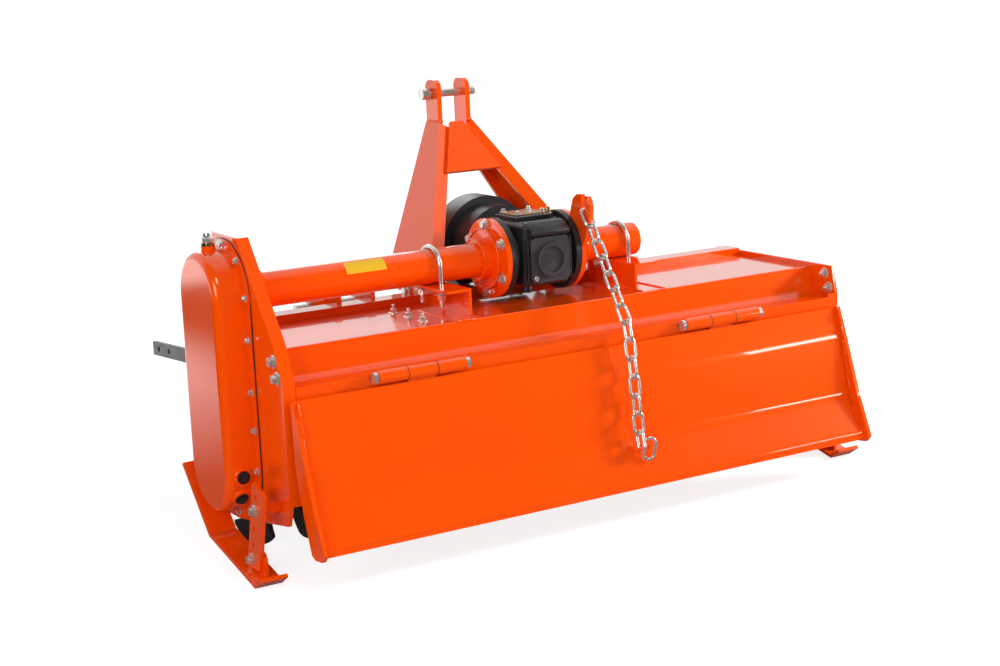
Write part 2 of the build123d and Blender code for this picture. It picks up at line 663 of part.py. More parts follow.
def flap_chain():
    """The chain, each link turned a quarter from the last: it hangs from the hook and ends round the
    bar of the flap's lug.  The links above the hinge line stay, those below it swing with the flap."""
    route = [Vector(x, y, tube_height + z) for x, y, z in chain_route]
    pitch = link_inner_length - link_play
    start = link_inner_length / 2 + link_wire - pitch / 2
    for index in range(upper_links + lower_links):
        a = walk(route, start + index * pitch)
        b = walk(route, start + (index + 1) * pitch)
        along = (b - a).normalized()
        across = (Vector(1, 0, 0) - along * along.X).normalized()
        if index % 2:
            across = along.cross(across)
        name = "upper_chain" if index < upper_links else "lower_chain"
        keep(name, link((a + b) / 2, along, across))
    bar = (a + b) / 2 + along * (link_inner_length / 2 - lug_wire - link_play)
    lug = rod_x(lug_wire, bar.X - lug_half_span, bar.X + lug_half_span, bar.Y, bar.Z)
    for x in (bar.X - lug_half_span, bar.X + lug_half_span):
        lug += Pos(x, bar.Y, bar.Z) * Sphere(lug_wire)
        lug += rod_y(lug_wire, bar.Y, flap_face(bar.Z) + sheet_wall / 2, x, bar.Z)
    keep("flap_chain_lug", lug - PARTS["flap"][0])


def flap_face(z):
    """Y of the flap's rear face at a height above the ground, on its lowest straight stretch."""
    (y0, z0), (y1, z1) = from_tube(flap_bends)[2:4]
    return y0 + (y1 - y0) * (z - z0) / (z1 - z0)


mast()
legs = [PARTS.pop("left_mast_leg")[0], PARTS.pop("right_mast_leg")[0]]
mast_extras(legs)
brackets(legs)
lower_hitch()
chain_case()
skids()
side_bar()
rotor()
cross_tube()
chain_hook()
gearbox()
input_shaft()
pto_shield()
side_plates()
hood()
hinges()
flap()
flap_chain()

# the origin goes to the middle of the footprint, on the ground
boxes = [solid.bounding_box() for solids in PARTS.values() for solid in solids]
low = [min(box.min.X for box in boxes), min(box.min.Y for box in boxes), min(box.min.Z for box in boxes)]
high = [max(box.max.X for box in boxes), max(box.max.Y for box in boxes)]
shift = Pos(-(low[0] + high[0]) / 2, -(low[1] + high[1]) / 2, -low[2])
os.makedirs("parts", exist_ok=True)
for name, solids in PARTS.items():
    export_step(Compound(children=[shift * solid for solid in solids]), f"parts/{name}.step")
print("moved by", [round(float(value), 3) for value in shift.position])
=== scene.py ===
"""The looks of a rotary tiller for a small tractor, in metres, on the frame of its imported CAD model."""
import json

import bpy
import numpy as np
from mathutils import Matrix, Vector


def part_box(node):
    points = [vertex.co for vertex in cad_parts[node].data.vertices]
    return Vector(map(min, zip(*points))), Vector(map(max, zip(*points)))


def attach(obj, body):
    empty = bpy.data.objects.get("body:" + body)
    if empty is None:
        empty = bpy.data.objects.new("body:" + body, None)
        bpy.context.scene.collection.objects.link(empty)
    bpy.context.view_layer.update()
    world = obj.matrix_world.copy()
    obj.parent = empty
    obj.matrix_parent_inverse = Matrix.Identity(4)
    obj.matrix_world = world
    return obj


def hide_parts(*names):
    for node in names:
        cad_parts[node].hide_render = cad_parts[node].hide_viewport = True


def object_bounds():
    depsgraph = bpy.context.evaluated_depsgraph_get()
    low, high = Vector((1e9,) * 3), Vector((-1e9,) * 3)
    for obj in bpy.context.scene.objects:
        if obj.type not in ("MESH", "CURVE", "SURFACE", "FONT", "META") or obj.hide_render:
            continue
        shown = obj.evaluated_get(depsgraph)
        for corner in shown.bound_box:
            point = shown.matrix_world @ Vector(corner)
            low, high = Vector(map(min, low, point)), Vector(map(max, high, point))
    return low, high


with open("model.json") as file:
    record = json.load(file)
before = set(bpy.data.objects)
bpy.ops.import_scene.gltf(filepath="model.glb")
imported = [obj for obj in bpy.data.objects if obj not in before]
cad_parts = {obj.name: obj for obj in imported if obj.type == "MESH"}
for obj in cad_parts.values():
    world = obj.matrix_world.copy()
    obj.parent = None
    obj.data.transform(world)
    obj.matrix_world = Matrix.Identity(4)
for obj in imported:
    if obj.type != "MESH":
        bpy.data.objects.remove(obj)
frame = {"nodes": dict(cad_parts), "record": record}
cad_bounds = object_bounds()


# ---- The studio ----
# The machine stands on a pale paper floor that runs on out of sight, in front of a wide white backdrop.
# The room is dim near the camera; a key panel stands behind the machine to the right, with fill from left and ahead.
def new_material(name):
    """An empty material: its node tree, and its output node."""
    material = bpy.data.materials.new(name)
    material.use_nodes = True
    material.node_tree.nodes.clear()
    return material, material.node_tree, material.node_tree.nodes.new("ShaderNodeOutputMaterial")


def add_node(tree, kind, values=(), **settings):
    """A node of a tree, with its settings and the values of its input sockets."""
    node = tree.nodes.new(kind)
    for name, value in settings.items():
        setattr(node, name, value)
    for socket, value in dict(values).items():
        node.inputs[socket].default_value = value
    return node


low, high = cad_bounds
middle = (low + high) / 2
floor_half = 12.0
floor_level = -0.0005
corners = [(-floor_half, -floor_half), (floor_half, -floor_half), (floor_half, floor_half), (-floor_half, floor_half)]
floor_mesh = bpy.data.meshes.new("studio_floor")
floor_mesh.from_pydata([(x, y, floor_level) for x, y in corners], [], [(0, 1, 2, 3)])
floor = bpy.data.objects.new("studio_floor", floor_mesh)
bpy.context.collection.objects.link(floor)

floor_paper_with_painted_reflection, tree, output = new_material("floor_paper_with_painted_reflection")
links = tree.links.new
matt = add_node(tree, "ShaderNodeBsdfDiffuse", {"Color": (0.88, 0.88, 0.88, 1)})
white = add_node(tree, "ShaderNodeEmission")
far_white = add_node(tree, "ShaderNodeMapRange", {"From Min": 1.2, "From Max": 3.5, "To Min": 1.56, "To Max": 2.0},
                     interpolation_type="SMOOTHSTEP")
# Seen only by reflected rays, the floor glows as a painted reflection: dark left of x -1.8 m, dim up to 0.6 m ahead of
# the middle, brightening further ahead, and bright all across beyond 3.1 m ahead, where it stands in for the backdrop.
painted_reflection_glow = add_node(tree, "ShaderNodeEmission")
rays = add_node(tree, "ShaderNodeLightPath")
place = add_node(tree, "ShaderNodeTexCoord")
reach = add_node(tree, "ShaderNodeVectorMath", operation="LENGTH")
spot = add_node(tree, "ShaderNodeSeparateXYZ")
left_edge = add_node(tree, "ShaderNodeMapRange", {"From Min": -1.8, "From Max": -1.4}, interpolation_type="SMOOTHSTEP")
near_dim = add_node(tree, "ShaderNodeMapRange", {"From Min": 0.6, "From Max": 2.1, "To Min": 0.1, "To Max": 1.4})
painted_backdrop_reflection = add_node(tree, "ShaderNodeMapRange", {"From Min": 3.1, "From Max": 3.5, "To Max": 1.6},
                 interpolation_type="SMOOTHSTEP")
painted_reflection_spread = add_node(tree, "ShaderNodeMath", operation="MULTIPLY")
brighter = add_node(tree, "ShaderNodeMath", operation="MAXIMUM")
lift = add_node(tree, "ShaderNodeMath", {1: 0.52}, operation="MULTIPLY")
seen = add_node(tree, "ShaderNodeMixShader")
mirrored = add_node(tree, "ShaderNodeMixShader")
links(place.outputs["Object"], reach.inputs[0])
links(place.outputs["Object"], spot.inputs[0])
links(spot.outputs["X"], left_edge.inputs["Value"])
links(spot.outputs["Y"], near_dim.inputs["Value"])
links(spot.outputs["Y"], painted_backdrop_reflection.inputs["Value"])
links(left_edge.outputs["Result"], painted_reflection_spread.inputs[0])
links(near_dim.outputs["Result"], painted_reflection_spread.inputs[1])
links(painted_reflection_spread.outputs[0], brighter.inputs[0])
links(painted_backdrop_reflection.outputs["Result"], brighter.inputs[1])
links(reach.outputs["Value"], far_white.inputs["Value"])
links(far_white.outputs["Result"], white.inputs["Strength"])
links(brighter.outputs[0], painted_reflection_glow.inputs["Strength"])
links(rays.outputs["Is Camera Ray"], lift.inputs[0])
links(lift.outputs[0], seen.inputs["Fac"])
links(matt.outputs[0], seen.inputs[1])
links(white.outputs[0], seen.inputs[2])
links(rays.outputs["Is Glossy Ray"], mirrored.inputs["Fac"])
links(seen.outputs[0], mirrored.inputs[1])
links(painted_reflection_glow.outputs[0], mirrored.inputs[2])
links(mirrored.outputs[0], output.inputs["Surface"])
floor_mesh.materials.append(floor_paper_with_painted_reflection)

camera_azimuth, camera_elevation, camera_roll = np.radians((-31.1, 11.4, 2.5))
backdrop_way = (-np.sin(camera_azimuth), np.cos(camera_azimuth), 0.0)
sky = bpy.data.worlds.new("studio_sky")
sky.use_nodes = True
bpy.context.scene.world = sky
tree = sky.node_tree
tree.nodes.clear()
links = tree.links.new
output = tree.nodes.new("ShaderNodeOutputWorld")
lit = add_node(tree, "ShaderNodeBackground")
plain = add_node(tree, "ShaderNodeBackground", {"Color": (1, 1, 1, 1)})
room = add_node(tree, "ShaderNodeBackground")
rays = add_node(tree, "ShaderNodeLightPath")
place = add_node(tree, "ShaderNodeTexCoord")
facing = add_node(tree, "ShaderNodeVectorMath", {1: backdrop_way}, operation="DOT_PRODUCT")
backdrop_edge = add_node(tree, "ShaderNodeMapRange",
                         {"From Min": -0.25, "From Max": 0.25, "To Min": 0.08, "To Max": 1.15},
                         interpolation_type="SMOOTHSTEP")
height = add_node(tree, "ShaderNodeSeparateXYZ")
wall_to_ceiling = add_node(tree, "ShaderNodeMapRange",
                           {"From Min": 0.0, "From Max": 0.9, "To Min": 0.9, "To Max": 0.15},
                           interpolation_type="SMOOTHSTEP")
mirrored = add_node(tree, "ShaderNodeMixShader")
seen = add_node(tree, "ShaderNodeMixShader")
links(place.outputs["Generated"], height.inputs[0])
links(height.outputs["Z"], wall_to_ceiling.inputs["Value"])
links(wall_to_ceiling.outputs["Result"], lit.inputs["Strength"])
links(place.outputs["Generated"], facing.inputs[0])
links(facing.outputs["Value"], backdrop_edge.inputs["Value"])
links(backdrop_edge.outputs["Result"], room.inputs["Strength"])
links(rays.outputs["Is Glossy Ray"], mirrored.inputs["Fac"])
links(lit.outputs[0], mirrored.inputs[1])
links(room.outputs[0], mirrored.inputs[2])
links(rays.outputs["Is Camera Ray"], seen.inputs["Fac"])
links(mirrored.outputs[0], seen.inputs[1])
links(plain.outputs[0], seen.inputs[2])
links(seen.outputs[0], output.inputs["Surface"])


def soft_panel(name, place, width, height, power):
    """A rectangular lamp that faces the middle of the machine."""
    lamp = bpy.data.lights.new(name, "AREA")
    lamp.shape = "RECTANGLE"
    lamp.size = width
    lamp.size_y = height
    lamp.energy = power
    panel = bpy.data.objects.new(name, lamp)
    panel.location = middle + Vector(place)
    panel.rotation_mode = "QUATERNION"
    panel.rotation_quaternion = (middle - panel.location).to_track_quat("-Z", "Y")
    bpy.context.collection.objects.link(panel)


soft_panel("key_panel", (3.6, -1.5, 1.15), 0.7, 0.7, 135)
soft_panel("left_panel", (-3.2, -2.0, 1.2), 1.6, 1.6, 42)
soft_panel("high_panel", (-0.6, -2.8, 3.0), 1.4, 1.0, 34)
soft_panel("front_panel", (0.8, 3.6, 2.0), 2.4, 1.6, 22)
soft_panel("glint_panel", (2.9, -3.0, 0.47), 0.55, 0.22, 6)

camera_data = bpy.data.cameras.new("camera")
camera_data.sensor_width = 36.0
camera_data.lens = 67.2
camera_distance = 4.1718
camera_aim = Vector((-0.0625, -0.032, 0.386))
back = Vector((np.sin(camera_azimuth) * np.cos(camera_elevation),
               -np.cos(camera_azimuth) * np.cos(camera_elevation), np.sin(camera_elevation)))
level = Vector((np.cos(camera_azimuth), np.sin(camera_azimuth), 0))
upright = back.cross(level)
right = level * np.cos(camera_roll) - upright * np.sin(camera_roll)
upward = level * np.sin(camera_roll) + upright * np.cos(camera_roll)
camera = bpy.data.objects.new("camera", camera_data)
camera.matrix_world = Matrix.Translation(camera_aim + back * camera_distance) @ Matrix(
    (right, upward, back)).transposed().to_4x4()
bpy.context.collection.objects.link(camera)
bpy.context.scene.camera = camera
bpy.context.scene.view_settings.view_transform = "Standard"


# ---- Orange paint ----
# Sheet steel, tube and plate are powder coated in one glossy orange.
# The film is faintly wavy, a little deeper in colour where it lies thicker, and hardly dusty.
def add_input(group, name, kind, value):
    """A named input socket of a shader node group, with its value."""
    socket = group.interface.new_socket(name, in_out="INPUT", socket_type=kind)
    socket.default_value = value


coat_film = bpy.data.node_groups.new("coat_film", "ShaderNodeTree")
add_input(coat_film, "Color", "NodeSocketColor", (1, 1, 1, 1))
add_input(coat_film, "Deep Color", "NodeSocketColor", (1, 1, 1, 1))
add_input(coat_film, "Cloud Scale", "NodeSocketFloat", 5.0)
add_input(coat_film, "Wave Scale", "NodeSocketFloat", 160.0)
add_input(coat_film, "Smooth", "NodeSocketFloat", 0.1)
add_input(coat_film, "Rough", "NodeSocketFloat", 0.2)
coat_film.interface.new_socket("Color", in_out="OUTPUT", socket_type="NodeSocketColor")
coat_film.interface.new_socket("Roughness", in_out="OUTPUT", socket_type="NodeSocketFloat")
coat_film.interface.new_socket("Height", in_out="OUTPUT", socket_type="NodeSocketFloat")
nodes, links = coat_film.nodes, coat_film.links.new
given, made = nodes.new("NodeGroupInput"), nodes.new("NodeGroupOutput")
place = nodes.new("ShaderNodeTexCoord")
cloud = nodes.new("ShaderNodeTexNoise")
cloud.inputs["Detail"].default_value = 4.0
wave = nodes.new("ShaderNodeTexNoise")
wave.inputs["Detail"].default_value = 1.0
tint = nodes.new("ShaderNodeMix")
tint.data_type = "RGBA"
gloss = nodes.new("ShaderNodeMapRange")
links(place.outputs["Object"], cloud.inputs["Vector"])
links(place.outputs["Object"], wave.inputs["Vector"])
links(given.outputs["Cloud Scale"], cloud.inputs["Scale"])
links(given.outputs["Wave Scale"], wave.inputs["Scale"])
links(cloud.outputs["Fac"], tint.inputs["Factor"])
links(given.outputs["Color"], tint.inputs["A"])
links(given.outputs["Deep Color"], tint.inputs["B"])
links(cloud.outputs["Fac"], gloss.inputs["Value"])
links(given.outputs["Smooth"], gloss.inputs["To Min"])
links(given.outputs["Rough"], gloss.inputs["To Max"])
links(tint.outputs["Result"], made.inputs["Color"])
links(gloss.outputs["Result"], made.inputs["Roughness"])
links(wave.outputs["Fac"], made.inputs["Height"])


def coated(name, color, deep, cloud_scale, wave_scale, smooth, rough, bump, depth):
    """A material made of the coat film over a Principled surface: the material and that surface."""
    material, tree, output = new_material(name)
    surface = tree.nodes.new("ShaderNodeBsdfPrincipled")
    film = tree.nodes.new("ShaderNodeGroup")
    film.node_tree = coat_film
    film.inputs["Color"].default_value = (*color, 1)
    film.inputs["Deep Color"].default_value = (*deep, 1)
    film.inputs["Cloud Scale"].default_value = cloud_scale
    film.inputs["Wave Scale"].default_value = wave_scale
    film.inputs["Smooth"].default_value = smooth
    film.inputs["Rough"].default_value = rough
    dents = tree.nodes.new("ShaderNodeBump")
    dents.inputs["Strength"].default_value = bump
    dents.inputs["Distance"].default_value = depth
    tree.links.new(film.outputs["Color"], surface.inputs["Base Color"])
    tree.links.new(film.outputs["Roughness"], surface.inputs["Roughness"])
    tree.links.new(film.outputs["Height"], dents.inputs["Height"])
    tree.links.new(dents.outputs["Normal"], surface.inputs["Normal"])
    tree.links.new(surface.outputs[0], output.inputs["Surface"])
    return material, surface


def finish_nodes(slot, material):
    """Gives every CAD node of a slot its material."""
    for part in frame["record"]["subparts"]:
        if part["material_slot"] == slot:
            mesh = frame["nodes"][part["node"]].data
            mesh.materials.clear()
            mesh.materials.append(material)


orange_paint, surface = coated("orange_paint", (1.0, 0.098, 0.0), (0.96, 0.068, 0.0), 3.0, 90.0,
                               0.12, 0.22, 0.05, 0.001)
surface.inputs["Specular Tint"].default_value = (1.0, 0.35, 0.08, 1)
surface.inputs["Coat Weight"].default_value = 0.9
surface.inputs["Coat IOR"].default_value = 1.52
surface.inputs["Coat Roughness"].default_value = 0.035
finish_nodes("orange_paint", orange_paint)

# ---- Black castings and plastic ----
# The gearbox and bearings are sand cast iron under black paint, grainy where the mould was, with a smoother cover.
# The drive shaft's shield and the case's plugs are moulded plastic, and the rotor is steel under thin black paint.
black_casting, _ = coated("black_casting", (0.012, 0.013, 0.015), (0.02, 0.021, 0.024), 20.0, 420.0,
                          0.28, 0.5, 0.5, 0.0015)
finish_nodes("black_casting", black_casting)
cover_paint, _ = coated("cover_paint", (0.034, 0.031, 0.035), (0.052, 0.047, 0.053), 14.0, 260.0,
                        0.34, 0.46, 0.12, 0.0008)
frame["nodes"]["gearbox_rear_cover"].data.materials.clear()
frame["nodes"]["gearbox_rear_cover"].data.materials.append(cover_paint)
black_plastic, _ = coated("black_plastic", (0.014, 0.014, 0.016), (0.02, 0.02, 0.023), 9.0, 60.0,
                          0.3, 0.42, 0.08, 0.001)
finish_nodes("black_plastic", black_plastic)
black_paint, _ = coated("black_paint", (0.012, 0.012, 0.013), (0.022, 0.021, 0.02), 14.0, 200.0,
                        0.3, 0.48, 0.2, 0.001)
finish_nodes("black_paint", black_paint)

# ---- Bare and plated steel ----
# Pins, U-bolts and chain are zinc plated, streaky and slightly yellow in places; the flat bar is galvanised, and dull.
# The input shaft is turned steel under a film of oil, and the breather and the filler's neck are brass.
zinc_plate, surface = coated("zinc_plate", (0.92, 0.91, 0.87), (0.66, 0.63, 0.56), 70.0, 500.0,
                             0.16, 0.34, 0.08, 0.0004)
surface.inputs["Metallic"].default_value = 0.8
finish_nodes("zinc_plate", zinc_plate)
galvanised, surface = coated("galvanised", (0.2, 0.2, 0.195), (0.11, 0.11, 0.105), 40.0, 300.0, 0.3, 0.5, 0.15, 0.0006)
surface.inputs["Metallic"].default_value = 0.7
frame["nodes"]["side_bar"].data.materials.clear()
frame["nodes"]["side_bar"].data.materials.append(galvanised)
bright_steel, surface = coated("bright_steel", (0.5, 0.5, 0.5), (0.36, 0.35, 0.33), 30.0, 300.0,
                               0.18, 0.34, 0.1, 0.0005)
surface.inputs["Metallic"].default_value = 1.0
finish_nodes("bright_steel", bright_steel)
brass, surface = coated("brass", (0.72, 0.54, 0.27), (0.52, 0.37, 0.17), 80.0, 600.0, 0.2, 0.38, 0.2, 0.0005)
surface.inputs["Metallic"].default_value = 1.0
finish_nodes("brass", brass)

# ---- Sheet seams ----
# The machine is welded by hand from laser-cut plate and pipe, and painted after.
# Short rippled beads hold the flap's end plates, the ears, the tube's collars and the feet.
plate_wall = 0.008
plate_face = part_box("left_side_plate")[0][0] + plate_wall
tube_low, tube_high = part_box("cross_tube")
tube_middle = (tube_low + tube_high) / 2


def placed(points):
    """Metres in the machine's frame, from millimetres out from the left plate's face and the cross tube's axis."""
    return np.asarray(points, dtype=float) / 1000 + (plate_face, tube_middle[1], tube_middle[2])


def surface_piece(name, rings, materials, crease=35.0):
    """A closed mesh from copies x rings x points: points close round, rings join along, both end rings are filled."""
    copies, rows, columns, _ = rings.shape
    index = np.arange(copies * rows * columns).reshape(copies, rows, columns)
    beside = np.roll(index, -1, axis=2)
    walls = np.stack((index[:, :-1], beside[:, :-1], beside[:, 1:], index[:, 1:]), axis=-1).reshape(-1, 4)
    ends = np.concatenate((index[:, 0, ::-1], index[:, -1]))
    mesh = bpy.data.meshes.new(name)
    mesh.from_pydata(rings.reshape(-1, 3).tolist(), [], walls.tolist() + ends.tolist())
    for material in materials:
        mesh.materials.append(material)
    mesh.polygons.foreach_set("use_smooth", np.ones(len(mesh.polygons), dtype=bool))
    mesh.set_sharp_from_angle(angle=np.radians(crease))
    piece = bpy.data.objects.new(name, mesh)
    bpy.context.collection.objects.link(piece)
    return piece


def along(runs, count):
    """Each run of corner points walked at even steps: copies x count x 3."""
    runs = np.asarray(runs, dtype=float)
    pieces = np.linalg.norm(np.diff(runs, axis=1), axis=2)
    gone = np.concatenate((np.zeros((len(runs), 1)), np.cumsum(pieces, axis=1)), axis=1)
    steps = np.linspace(0, 1, count)
    return np.stack([np.stack([np.interp(steps * g[-1], g, run[:, k]) for k in range(3)], axis=1)
                     for g, run in zip(gone, runs)]), gone[:, -1]


def weld_bead(name, runs, width, body, ripple=4.5, material=orange_paint):
    """Tubes of radius w (0.75 + 0.25 |sin(pi s / ripple)| + 0.12 sin(0.37 s)) along each run, s the way gone.

    They are drawn in at both ends; with a ripple of 0 the radius is w all along, with plain ends.
    """
    count = 90
    path, length = along(runs, count)
    way = np.gradient(path, axis=1)
    way /= np.linalg.norm(way, axis=2, keepdims=True)
    helper = np.where(np.abs(way[..., :1]) > 0.8, (0.0, 0.0, 1.0), (1.0, 0.0, 0.0))
    first = np.cross(way, helper)
    first /= np.linalg.norm(first, axis=2, keepdims=True)
    second = np.cross(way, first)
    step = np.linspace(0, 1, count)
    gone = step * length[:, None]
    radius = width * np.ones_like(gone)
    if ripple:
        radius *= 0.75 + 0.25 * np.abs(np.sin(np.pi * gone / ripple)) + 0.12 * np.sin(gone * 0.37)
        radius *= np.sqrt(np.clip(np.minimum(step, 1 - step) * 25, 0.02, 1))
    turn = np.linspace(0, 2 * np.pi, 10, endpoint=False)
    rings = (path[:, :, None] + radius[:, :, None, None] * (np.cos(turn)[:, None] * first[:, :, None]
                                                            + np.sin(turn)[:, None] * second[:, :, None]))
    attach(surface_piece(name, placed(rings), [material], 60), body)


def ring_run(x, radius, y=0.0, z=0.0, start=0.0, end=360.0):
    """A run round an axis along X through (y, z), in degrees from the top towards the front."""
    angle = np.radians(np.linspace(start, end, 49))
    return np.stack((np.full(49, x), y + radius * np.sin(angle), z + radius * np.cos(angle)), axis=1)


def mirrored_run(run, middle_x):
    """The same run on the machine's other side."""
    run = np.array(run, dtype=float)
    run[..., 0] = 2 * middle_x - run[..., 0]
    return run


machine_middle = (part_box("left_side_plate")[0][0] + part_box("right_side_plate")[1][0]) / 2
middle_x = 1000 * (machine_middle - plate_face)
tube_radius = 38.0
plate_foot = [(-282, -186), (-289, -212), (-290, -222), (-297, -246), (-298, -252), (-304, -290), (-305, -300),
              (-309, -322), (-312, -336), (-319, -366), (-322, -378), (-332, -404), (-334, -410), (-343, -436),
              (-346, -445), (-356, -466)]
end_beads = np.array([[(11.5, y0 + 18, z0), (11.5, y1 + 16, z1)]
                      for (y0, z0), (y1, z1) in zip(plate_foot[::2], plate_foot[1::2])], dtype=float)
weld_bead("flap_end_beads", np.concatenate((end_beads, mirrored_run(end_beads, middle_x))), 3.0, "flap", 3.6)

gearbox_x = 1000 * ((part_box("gearbox_housing")[0][0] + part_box("gearbox_housing")[1][0]) / 2 - plate_face)
flange_rings = [ring_run(602.5, 66), ring_run(580.5, 46), ring_run(829.5, 66), ring_run(851.5, 46),
                ring_run(10.5, 48), ring_run(60.5, tube_radius)]
weld_bead("collar_beads", flange_rings, 2.6, "frame", 5.0)

bracket_beads = [[(x, y, -97.0) for y in (-148, 20)] for x in (441.0, 991.0)]
bracket_beads += [[(x, y, -97.0) for y in (-144, 10)] for x in (501.0, 931.0)]
bracket_beads += [[(x0, -149.5, -97.5), (x1, -149.5, -97.5)] for x0, x1 in ((444, 494), (938, 988))]
weld_bead("bracket_beads", bracket_beads, 2.4, "frame")

ear_low, ear_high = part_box("top_link_ears")
ear_low, ear_high = [1000 * (np.array(corner) - placed((0, 0, 0))) for corner in (ear_low, ear_high)]
ear_beads = [[(x, ear_low[1] - 1, 282.0), (x, ear_high[1] - 4, 282.0)] for x in (ear_low[0] - 1, ear_high[0] + 1)]
ear_beads += [[(x, ear_low[1] - 1, 281.5), (x + 12, ear_low[1] - 1, 281.5)] for x in (ear_low[0], ear_high[0] - 12)]
weld_bead("ear_beads", ear_beads, 2.8, "frame")

# ---- Folded edges ----
# Hood and flap are each one steel sheet, folded on a press before they are welded and painted.
# The paint lies over a small radius at every fold, and catches the light there.
def fold_strip(name, before, corner, after, reach, lift, ends, body):
    """A thin strip over one fold: the curve (1-u)^2 A + 2u(1-u) P + u^2 B raised off the corner P, along X."""
    before, corner, after = (np.array(point, dtype=float) for point in (before, corner, after))
    start = corner + (before - corner) / np.linalg.norm(before - corner) * reach
    stop = corner + (after - corner) / np.linalg.norm(after - corner) * reach
    inward = (start + stop) / 2 - corner
    inward /= np.linalg.norm(inward)
    u = np.linspace(0, 1, 13)[:, None]
    curve = (1 - u) ** 2 * start + 2 * u * (1 - u) * corner + u ** 2 * stop - inward * lift
    under = np.stack((stop, corner, start)) + inward * 0.4 * np.sign(lift)
    loop = np.concatenate((curve, under))
    rings = np.stack([np.concatenate((np.full((len(loop), 1), x), loop), axis=1) for x in ends])
    area = np.sum(loop[:, 0] * np.roll(loop[:, 1], -1) - loop[:, 1] * np.roll(loop[:, 0], -1))
    outward = rings[None] if area > 0 else rings[None, ::-1]
    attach(surface_piece(name, placed(outward), [orange_paint], 40), body)


flap_line = [(-250, -182), (-270, -246), (-298, -384), (-349, -461), (-351, -478)]
flap_span = (10.0, 2 * middle_x - 10.0)
fold_strip("flap_upper_fold", *flap_line[0:3], 9.0, 0.32, flap_span, "flap")
fold_strip("flap_lower_fold", *flap_line[1:4], 14.0, -0.15, flap_span, "flap")
fold_strip("flap_foot_fold", *flap_line[2:5], 7.0, 0.95, flap_span, "flap")
hood_line = [(112, -98), (-149, -98), (-172, -156), (-240, -158)]
hood_span = (0.5, 2 * middle_x - 0.5)
fold_strip("deck_fold", *hood_line[0:3], 3.5, 1.05, hood_span, "frame")
fold_strip("slope_fold", *hood_line[1:4], 12.0, -0.15, hood_span, "frame")

# ---- Nuts and bolts ----
# Plated hex bolts with washers hold the chain case, the plates, the struts and the gearbox's flanges.
# They go in after painting, so they stay bright; a few have a stub of thread standing out of a nut.
# The hinge pins are headed rods pushed through the knuckles, and thin black rings over the gaps between the knuckles
# are painted shade of those gaps.
def turned(name, rows, places, axis, materials, body, crease=32.0):
    """Copies turned about one axis, a ring to each row (height, circle, hexagon): r = min(circle, hexagon / cos(a)).

    a is the angle from the middle of the nearest side of the hexagon, and hexagon is half its width across flats.
    """
    rows, places = np.array(rows, dtype=float), np.array(places, dtype=float)
    axis = np.array(axis, dtype=float) / np.linalg.norm(axis)
    first = np.cross(axis, (0.0, 1.0, 0.0) if abs(axis[1]) < 0.3 else (1.0, 0.0, 0.0))
    first /= np.linalg.norm(first)
    second = np.cross(axis, first)
    angle = np.linspace(0, 2 * np.pi, 24, endpoint=False)
    outline = np.minimum(rows[:, 1:2], rows[:, 2:3] / np.cos((angle % (np.pi / 3)) - np.pi / 6))
    turn = angle + 0.83 * np.arange(len(places))[:, None]
    spokes = np.cos(turn)[..., None] * first + np.sin(turn)[..., None] * second
    rings = (places[:, None, None] + rows[:, 0, None, None] * axis
             + outline[None, :, :, None] * spokes[:, None])
    piece = surface_piece(name, placed(rings), materials, crease)
    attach(piece, body)
    return piece


def fasteners(name, places, axis, flats, stub=0.0, body="frame"):
    """Hex heads over washers; with a stub they are nuts with the thread's end standing out."""
    half, wide = flats / 2, 1e3
    washer, corner = 0.86 * flats, 1.16 * half
    top = 1.8 + 0.62 * flats
    rows = [(-0.5, washer, wide), (1.4, washer, wide), (1.8, 0.8 * flats, wide), (1.8, corner, half),
            (top - 0.9, corner, half), (top - 0.2, 1.04 * half, half), (top, 0.96 * half, half)]
    if stub:
        rows += [(top, 0.56 * half, wide), (top + stub - 0.8, 0.56 * half, wide), (top + stub, 0.44 * half, wide)]
    else:
        rows += [(top - 0.3, 0.7 * half, wide), (top - 0.3, 0.3 * half, wide)]
    turned(name, rows, places, axis, [zinc_plate], body)


right_face = 2 * middle_x
wall = 1000 * plate_wall
rail_bolts = [(-206, -107), (-219, -139)]
fasteners("left_plate_bolts", [(-wall, y, z) for y, z in rail_bolts], (-1, 0, 0), 17)
fasteners("left_plate_nuts", [(0, y, z) for y, z in rail_bolts], (1, 0, 0), 15, 6)
fasteners("right_plate_bolts", [(right_face + wall, y, z) for y, z in rail_bolts], (1, 0, 0), 17)
fasteners("right_plate_nuts", [(right_face, y, z) for y, z in rail_bolts], (-1, 0, 0), 15, 6)
fasteners("front_left_bolt", [(-wall, 137, -107)], (-1, 0, 0), 17)
fasteners("front_right_bolt", [(right_face + wall, 137, -107)], (1, 0, 0), 17)
case_rim = [(-6, 106), (-74, 79), (-105, 7), (-105.5, -79), (-106, -186), (-106, -266), (-105.5, -351),
            (-74, -429), (0, -459)]
case_rim += [(-y, z) for y, z in case_rim if y]
fasteners("case_bolts", [(-14, y, z) for y, z in case_rim], (-1, 0, 0), 10)
round_flange = [(76 * np.sin(a), 76 * np.cos(a)) for a in np.radians(np.arange(0, 360, 60))]
fasteners("left_flange_bolts", [(612.5, y, z) for y, z in round_flange], (-1, 0, 0), 15)
fasteners("right_flange_bolts", [(819.5, y, z) for y, z in round_flange], (1, 0, 0), 15)
collar_bolts = [(54 * np.sin(a), 54 * np.cos(a)) for a in np.radians((-125, -65, -5, 55, 115))]
fasteners("collar_bolts", [(10, y, z) for y, z in collar_bolts], (1, 0, 0), 8)
fasteners("left_strut_bolts", [(-59, -181, -408), (-59, -150, -516)], (-1, 0, 0), 15)
fasteners("left_strut_nut", [(-43, -150, -516)], (1, 0, 0), 15, 5)
fasteners("right_strut_bolts", [(right_face + 50, -181, -408), (right_face + 50, -150, -516)], (1, 0, 0), 15)
